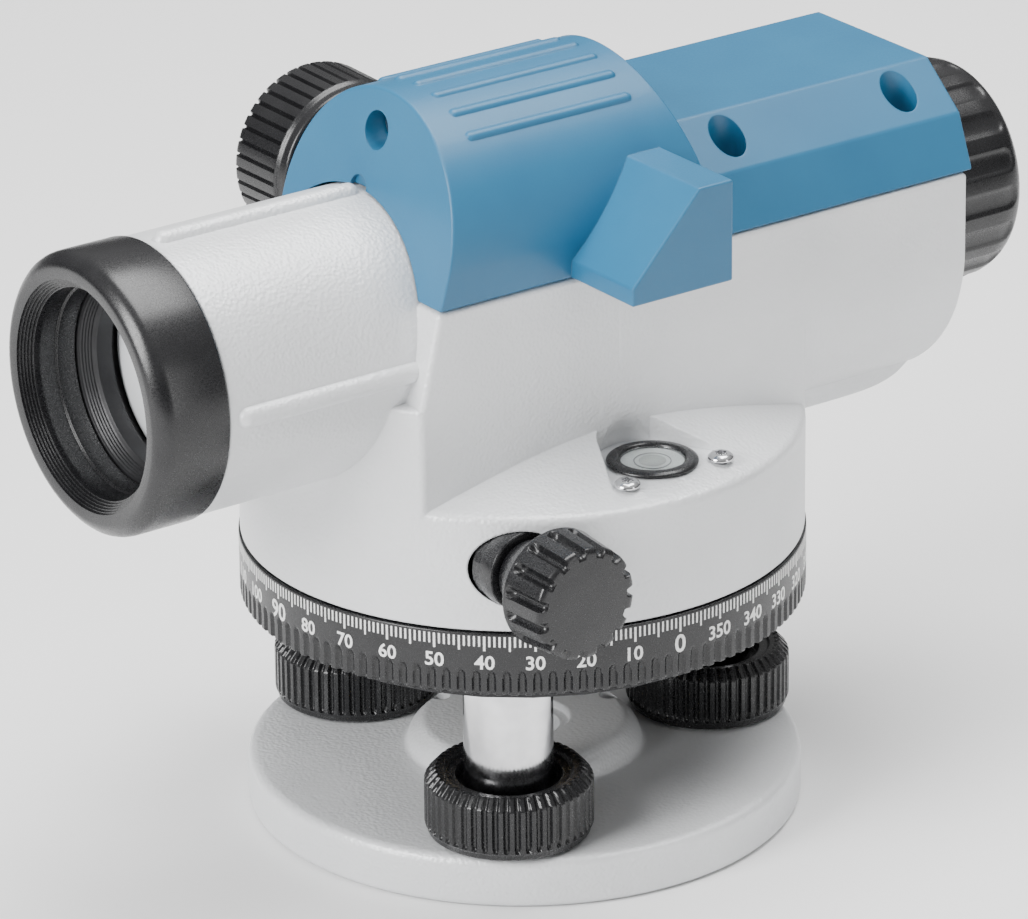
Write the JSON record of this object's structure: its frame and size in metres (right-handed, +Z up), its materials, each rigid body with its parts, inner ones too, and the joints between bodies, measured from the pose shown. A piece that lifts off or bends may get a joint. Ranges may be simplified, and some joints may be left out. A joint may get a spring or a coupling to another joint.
{
  "type": "automatic level",
  "caption": "Optical builder's level: telescope with compensator on a turning housing with side drive knobs, a graduated horizontal circle and a round base on levelling screws.",
  "frame": {"origin": "centre of the base plate's underside, on the vertical axis, where the tripod screw enters", "axes": "+Z up along the vertical axis; +X along the telescope towards the eyepiece; -Y towards the circular level and the mirror hood"},
  "size_m": [0.2183, 0.136, 0.1612],
  "materials": {
    "silver_paint": "fine leather-grain silver-white lacquer on a light-alloy casting",
    "blue_paint": "fine-grained satin mid blue",
    "black_plastic": "satin black moulding",
    "black_metal": "black anodised",
    "chrome": "bright",
    "steel": "turned",
    "brass": "turned",
    "glass": "coated optical glass",
    "mirror": "silvered",
    "level_fluid": "clear glass over pale spirit"
  },
  "bodies": {
    "base": {"base_plate": "silver_paint", "retaining_spring": "steel", "levelling_head": "black_metal", "axis_bush": "brass", "clutch_washer": "steel", "foot_sleeve_1": "chrome", "foot_sleeve_2": "chrome", "foot_sleeve_3": "chrome"},
    "foot_screw_1": {"foot_spindle_1": "steel", "foot_knob_1": "black_plastic"},
    "foot_screw_2": {"foot_spindle_2": "steel", "foot_knob_2": "black_plastic"},
    "foot_screw_3": {"foot_spindle_3": "steel", "foot_knob_3": "black_plastic"},
    "circle": {"horizontal_circle": "black_plastic"},
    "drive_wheel": {"worm_wheel": "brass"},
    "alidade": {"main_housing": "silver_paint", "top_cover": "blue_paint", "vertical_spindle": "steel", "spindle_nut": "steel", "vial_bezel": "black_plastic", "vial_glass": "level_fluid", "vial_screw_1": "steel", "vial_screw_2": "steel", "vial_mirror": "mirror", "cover_screw_1": "steel", "cover_screw_2": "steel", "cover_screw_3": "steel", "cover_screw_4": "steel", "cover_screw_5": "steel", "objective_hood": "black_plastic", "objective_cell": "black_metal", "objective_lens": "glass", "lens_retainer": "black_metal", "focus_guide": "black_metal", "focus_bush": "black_plastic", "compensator_frame": "black_metal", "entry_prism": "glass", "exit_prism": "glass", "damper_magnet": "steel", "suspension_tape_near": "steel", "suspension_tape_far": "steel", "eyepiece_mount": "black_metal", "reticle_cell": "brass", "reticle": "glass", "drive_bush_near": "black_plastic", "drive_bush_far": "black_plastic"},
    "drive_worm": {"drive_shaft": "steel", "drive_knob_near": "black_plastic", "drive_knob_far": "black_plastic"},
    "focus_control": {"focus_shaft": "steel", "focus_knob": "black_plastic"},
    "focus_carriage": {"focus_carriage": "brass", "focus_rack": "brass", "focusing_lens": "glass"},
    "pendulum": {"pendulum": "brass", "pendulum_prism": "glass"},
    "eyepiece_ring": {"eyepiece_ring": "black_plastic"},
    "eyepiece_barrel": {"eyepiece_barrel": "black_metal", "eyepiece_lens": "glass"}
  },
  "joints": [
    {"name": "foot_screw_1_turn", "type": "hinge", "parent": "base", "child": "foot_screw_1", "pos_m": [-0.02725, -0.03248, 0.011], "axis": [0, 0, 1], "range_deg": [-1080, 1080]},
    {"name": "foot_screw_2_turn", "type": "hinge", "parent": "base", "child": "foot_screw_2", "pos_m": [0.04176, -0.00736, 0.011], "axis": [0, 0, 1], "range_deg": [-1080, 1080]},
    {"name": "foot_screw_3_turn", "type": "hinge", "parent": "base", "child": "foot_screw_3", "pos_m": [-0.0145, 0.03984, 0.011], "axis": [0, 0, 1], "range_deg": [-1080, 1080]},
    {"name": "circle_turn", "type": "hinge", "parent": "base", "child": "circle", "pos_m": [0, 0, 0.0466], "axis": [0, 0, 1], "continuous": true},
    {"name": "coarse_azimuth", "type": "hinge", "parent": "base", "child": "drive_wheel", "pos_m": [0, 0, 0.0735], "axis": [0, 0, 1], "continuous": true},
    {"name": "fine_azimuth", "type": "hinge", "parent": "drive_wheel", "child": "alidade", "pos_m": [0, 0, 0.0603], "axis": [0, 0, 1], "continuous": true},
    {"name": "drive_worm_turn", "type": "hinge", "parent": "alidade", "child": "drive_worm", "pos_m": [-0.0334, 0, 0.0735], "axis": [0, 1, 0], "continuous": true},
    {"name": "focus_knob_turn", "type": "hinge", "parent": "alidade", "child": "focus_control", "pos_m": [-0.0115, 0, 0.126], "axis": [0, 1, 0], "range_deg": [-171.8, 171.8]},
    {"name": "focus_slide", "type": "slide", "parent": "alidade", "child": "focus_carriage", "axis": [1, 0, 0], "range_m": [-0.009, 0.009]},
    {"name": "compensator_swing", "type": "hinge", "parent": "alidade", "child": "pendulum", "pos_m": [0.049, 0, 0.1301], "axis": [0, 1, 0], "range_deg": [-0.3, 0.3]},
    {"name": "eyepiece_turn", "type": "hinge", "parent": "alidade", "child": "eyepiece_ring", "pos_m": [0.1, 0, 0.112], "axis": [1, 0, 0], "range_deg": [-170, 170]},
    {"name": "eyepiece_slide", "type": "slide", "parent": "alidade", "child": "eyepiece_barrel", "axis": [1, 0, 0], "range_m": [-0.0015, 0.0015]}
  ],
  "couplings": [
    {"joint": "fine_azimuth", "follows": "drive_worm_turn", "ratio": -0.020833},
    {"joint": "focus_slide", "follows": "focus_knob_turn", "m_per_rad": -0.003},
    {"joint": "eyepiece_slide", "follows": "eyepiece_turn", "m_per_rad": 0.0005}
  ]
}
